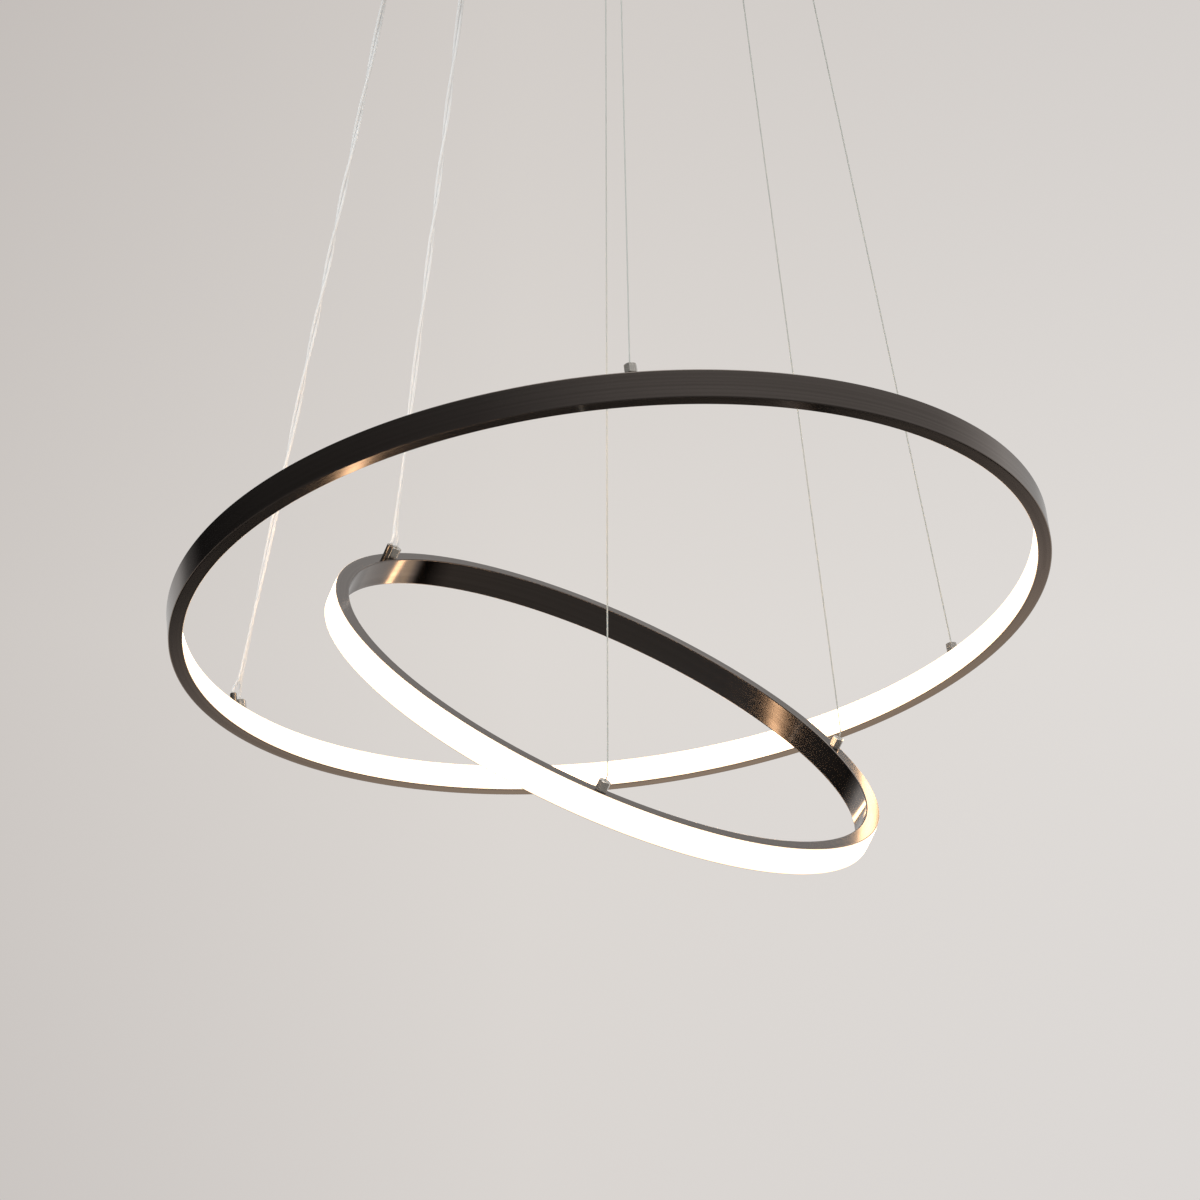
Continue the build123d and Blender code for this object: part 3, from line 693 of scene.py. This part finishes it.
def makeRows(name, rowSets, smooth=False):
    # closed surfaces, each a grid that wraps both ways, in one mesh
    points, faces, count = [], [], 0
    for rows in rowSets:
        quads, _ = gridFaces(rows.shape[0], rows.shape[1], True, True)
        points.append(rows.reshape(-1, 3))
        faces.append(quads + count)
        count += len(points[-1])
    return makeMesh(name, np.concatenate(points), np.concatenate(faces), smooth=smooth)


def barrelRows(seat):
    # round barrel: outline of radius and height turned about the seat's axis
    n, b = nutLook, barrelLook
    corners = [
        (n["thread"], 0), (b["radius"], 0), (b["radius"], b["top"]), (n["coreBore"], b["top"]),
        (n["coreBore"], n["cap"]), (n["thread"], n["cap"]),
    ]
    radii = [b["edge"], b["footEdge"], b["topEdge"], b["edge"], b["edge"], b["edge"]]
    outline = roundedProfile(corners, radii, 5, b["support"])
    points, _, _ = sweepRing(seat, outline, n["around"])
    return points.reshape(n["around"], len(outline), 3)


linePhases = {"cord": 153.5, "front": 273.5, "right": 393.5}  # degrees round the ring
seats = {}
for ring, look in ringLooks.items():
    plane = ringPlane(look["drop"], look["shift"], look["tilt"], look["lean"])
    way = -1 if look["facesIn"] else 1
    back = look["radius"] if look["facesIn"] else look["radius"] - profileLook["depth"]
    body = ring + "_ring"
    channel = makeChannel(ring + "RingChannel", plane, back, way)
    finishPiece(channel, metal["ring"], "dark_titanium", body, body + "_channel")
    diffuser = makeDiffuser(ring + "RingDiffuser", plane, back, way)
    finishPiece(diffuser, plastic["opal"], "lit_opal", body, body + "_diffuser")
    for line, phase in linePhases.items():
        seats[ring, line] = seatOn(plane, look["radius"], phase)
    pitch = degrees(barrelLook["pitch"] / (look["radius"] - profileLook["depth"] / 2))
    seats[ring, "barrel"] = seatOn(plane, look["radius"], linePhases["cord"] + pitch)
    bores = {"front": nutLook["bore"], "right": nutLook["bore"], "cord": nutLook["coreBore"]}
    nuts = makeRows(ring + "RingNuts", [nutRows(seats[ring, line], bore) for line, bore in bores.items()])
    finishPiece(nuts, metal["polishedNickel"], "polished_nickel", body, body + "_hex_nuts")
    barrel = makeRows(ring + "RingBarrel", [barrelRows(seats[ring, "barrel"])], smooth=True)
    finishPiece(barrel, metal["darkNickel"], "polished_nickel", body, body + "_cord_barrel")
print("rings, diffusers, nuts and barrels made")


springLook = {
    "low": -0.04295, "high": -0.02605, "middle": 0.00255, "wire": 0.0004, "turns": 7, "flatTurns": 0.8,
    "steps": 28, "sides": 10,
}


def springPath(hole, look):
    # helix of even radius about the hole's axis; its first and last turn lie almost flat, as closed ends do
    share = np.linspace(0, 1, look["turns"] * look["steps"])
    turn = 2 * pi * look["turns"] * share
    flat = look["flatTurns"]
    climb = np.clip((share * look["turns"] - flat) / (look["turns"] - 2 * flat), 0, 1)
    low, high = look["low"] + look["wire"], look["high"] - look["wire"]
    x, y = hole[0] + np.cos(turn) * look["middle"], hole[1] + np.sin(turn) * look["middle"]
    return np.stack([x, y, low + (high - low) * climb], 1)


for node, route in wireRoutes.items():
    s = springLook
    ring, _, line = node.split("_")
    hole = route["points"][4]
    rows = tubeRows(springPath(hole, s), np.array([0, 0, 1.0]), s["wire"], s["sides"])
    spring = makeTubes(ring + line.capitalize() + "Spring", [rows])
    finishPiece(spring, metal["springSteel"], "spring_steel", None, f"{ring}_{line}_gripper_spring")
    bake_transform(spring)
print("springs made")


# finishes of the CAD pieces that stay
finishes = {
    "canopy_shell": metal["canopy"], "canopy_side_screws": metal["polishedNickel"],
    "canopy_lock_nuts": metal["nickelledBrass"], "ceiling_bracket": metal["zincPlate"],
    "driver_and_block_screws": metal["zincPlate"], "wire_gripper_bodies": metal["polishedNickel"],
    "cord_gland_bodies": plastic["blackNylon"], "cord_gland_caps": plastic["blackNylon"],
    "cord_gland_seals": plastic["softRubber"], "cord_terminal_block": plastic["naturalNylon"],
    "mains_terminal_block": plastic["naturalNylon"], "cord_leads": plastic["leads"],
    "mains_leads": plastic["leads"],
}
for ring in ringLooks:
    finishes[ring + "_ring_driver"] = plastic["whiteCase"]
    finishes[ring + "_ring_led_tape"] = plastic["whiteTape"]
    finishes[ring + "_ring_bushes"] = metal["nickelledBrass"]
    finishes[ring + "_ring_wire_stops"] = metal["wireSteel"]
    finishes[ring + "_ring_core_ferrules"] = metal["nickelledBrass"]
    finishes[ring + "_front_gripper_release"] = metal["polishedNickel"]
    finishes[ring + "_right_gripper_release"] = metal["polishedNickel"]
for node, material in finishes.items():
    for slot in nodes[node].material_slots:
        slot.material = material
print("finishes given to", len(finishes), "pieces")


roomLook = {
    "soft": (0.72, 0.71, 0.69), "ceiling": (1.7, 1.66, 1.6), "ceilingFrom": 0.76, "ceilingFull": 0.98,
    "floor": (0.66, 0.635, 0.605), "floorSeen": (0.69, 0.655, 0.63), "floorPale": 0.6,
    "floorLevel": -2.4, "floorSize": 40.0,
}
# the pale wall behind the lamp, with the uneven fall of light on it painted in: colour by sideways direction,
# and a share of it by height
wallLightAcross = [(-0.16, (0.612, 0.578, 0.552)), (-0.02, (0.725, 0.69, 0.658)), (0.16, (0.745, 0.716, 0.692))]
wallLightUpwards = [(0.0, (0.96, 0.96, 0.965)), (0.14, (1.0, 1.0, 1.0)), (0.31, (0.88, 0.872, 0.87))]
# what the metal mirrors: brightness by direction, once round by the left, the back and the right
aroundRoom = [
    (0.0, 0.2), (0.11, 0.09), (0.2, 0.06), (0.28, 0.045), (0.365, 0.016), (0.388, 0.14), (0.408, 0.5),
    (0.43, 0.56), (0.5, 0.56), (0.535, 0.48), (0.57, 0.46), (0.625, 0.62), (0.67, 0.42), (0.7, 0.31),
    (0.79, 0.27), (0.89, 0.25), (1.0, 0.2),
]
# and on the floor as the metal mirrors it, painted light and shade by metres in front of the lamp and behind
# it: painted shade beneath, pale behind, with a warm painted pool of the lamp's light
floorLightAndShade = [
    (-4.0, (0.1, 0.1, 0.1)), (0.6, (0.12, 0.11, 0.1)), (1.3, (0.01, 0.01, 0.01)), (1.68, (0.0, 0.0, 0.0)),
    (1.82, (0.16, 0.15, 0.14)), (2.05, (0.48, 0.42, 0.38)), (2.2, (0.82, 0.68, 0.54)),
    (2.4, (1.15, 0.92, 0.68)), (3.2, (0.66, 0.63, 0.6)), (6.0, (0.58, 0.565, 0.55)),
]


def greys(stops):
    # slightly warm greys of the given brightness
    return [(place, (level, level * 0.98, level * 0.96)) for place, level in stops]


def rampAlong(g, value, stops):
    # colour ramp read at value, with its stops placed in the value's own measure
    low, high = stops[0][0], stops[-1][0]
    even = [((place - low) / (high - low), tone) for place, tone in stops]
    share = value * (1 / (high - low)) - low / (high - low)
    return g.add("ShaderNodeValToRGB", {0: share}, stops=even)


def makeFloor():
    # one level square; it takes the lamp's light and shadow, and shows the metal a painted light and shade of
    # its own
    r = roomLook
    size, level = r["floorSize"] / 2, r["floorLevel"]
    points = np.array([(-size, -size, level), (size, -size, level), (size, size, level), (-size, size, level)])
    mesh = bpy.data.meshes.new("floor")
    mesh.from_pydata(points, [], [(0, 1, 2, 3)])
    floor = bpy.data.objects.new("floor", mesh)
    bpy.context.scene.collection.objects.link(floor)
    material, g = newMaterial("paleFloor")
    _, y, _ = g.split(g.place())
    mirrored = rampAlong(g, y, floorLightAndShade)
    seen = g.add("ShaderNodeLightPath", output="Is Camera Ray")
    glossy = g.add("ShaderNodeLightPath", output="Is Glossy Ray")
    plain = g.add("ShaderNodeBsdfDiffuse", {"Color": colour(*r["floor"])})
    shown = g.add("ShaderNodeEmission", {"Color": colour(*r["floorSeen"]), "Strength": 1.0})
    # what glossy rays see: the floor's painted light and shade by distance, with the warm painted pool of the
    # lamp's light
    paintedFloorLight = g.add("ShaderNodeEmission", {"Color": mirrored, "Strength": 1.0})
    lit = g.add("ShaderNodeMixShader", {0: seen * r["floorPale"], 1: plain, 2: shown})
    mixed = g.add("ShaderNodeMixShader", {0: glossy, 1: lit, 2: paintedFloorLight})
    g.add("ShaderNodeOutputMaterial", {"Surface": mixed}, is_active_output=True)
    mesh.materials.append(material)


def makeWorld():
    # pale to the camera, to clear and to dull surfaces; to metal a room with its bright side behind the lamp
    world = bpy.data.worlds.new("room")
    bpy.context.scene.world = world
    g = Graph(world)
    x, y, z = g.split(g.place("Generated"))
    r = roomLook
    # the wall as the camera sees it, with its light painted in: darker to the left, lightest a little above
    # level
    shown = g.mixColours(1.0, rampAlong(g, x, wallLightAcross), rampAlong(g, z, wallLightUpwards), "MULTIPLY")
    azimuth = g.add("ShaderNodeMath", {0: x, 1: y}, operation="ARCTAN2") * (1 / (2 * pi)) + 0.5
    room = rampAlong(g, azimuth, greys(aroundRoom))
    room = g.mixColours(z.between(r["ceilingFrom"], r["ceilingFull"]), room, colour(*r["ceiling"]))
    path = g.add("ShaderNodeLightPath").socket.node.outputs
    kinds = ("Is Camera Ray", "Is Glossy Ray", "Is Transmission Ray")
    seen, glossy, through = (Wire(g, path[kind]) for kind in kinds)
    wall = g.add("ShaderNodeMath", {0: seen, 1: through}, operation="MAXIMUM")
    pale = g.mixColours(wall, colour(*r["soft"]), shown)
    tone = g.mixColours(glossy * (1 - through), pale, room)
    background = g.add("ShaderNodeBackground", {"Color": tone, "Strength": 1.0})
    g.add("ShaderNodeOutputWorld", {"Surface": background}, is_active_output=True)


lampLooks = {
    "frontLight": {"place": (0.9, -2.4, 1.2), "size": 1.6, "power": 34.0, "tone": (1.0, 0.98, 0.95)},
    "sideLight": {"place": (-2.6, -1.2, 0.2), "size": 1.2, "power": 16.0, "tone": (0.97, 0.99, 1.0)},
}
lampAim = Vector((0.0, 0.0, -0.6))


def makeLamps():
    # soft lamps that dull and clear surfaces take; the metal mirrors the room instead
    for name, look in lampLooks.items():
        data = bpy.data.lights.new(name, "AREA")
        data.energy, data.size, data.color = look["power"], look["size"], look["tone"]
        lamp = bpy.data.objects.new(name, data)
        lamp.location = look["place"]
        lamp.rotation_euler = (lampAim - lamp.location).to_track_quat("-Z", "Y").to_euler()
        lamp.visible_camera = lamp.visible_glossy = False
        bpy.context.scene.collection.objects.link(lamp)


makeFloor()
makeWorld()
makeLamps()
bpy.context.scene.view_settings.view_transform = "Standard"
print("room and lights made")
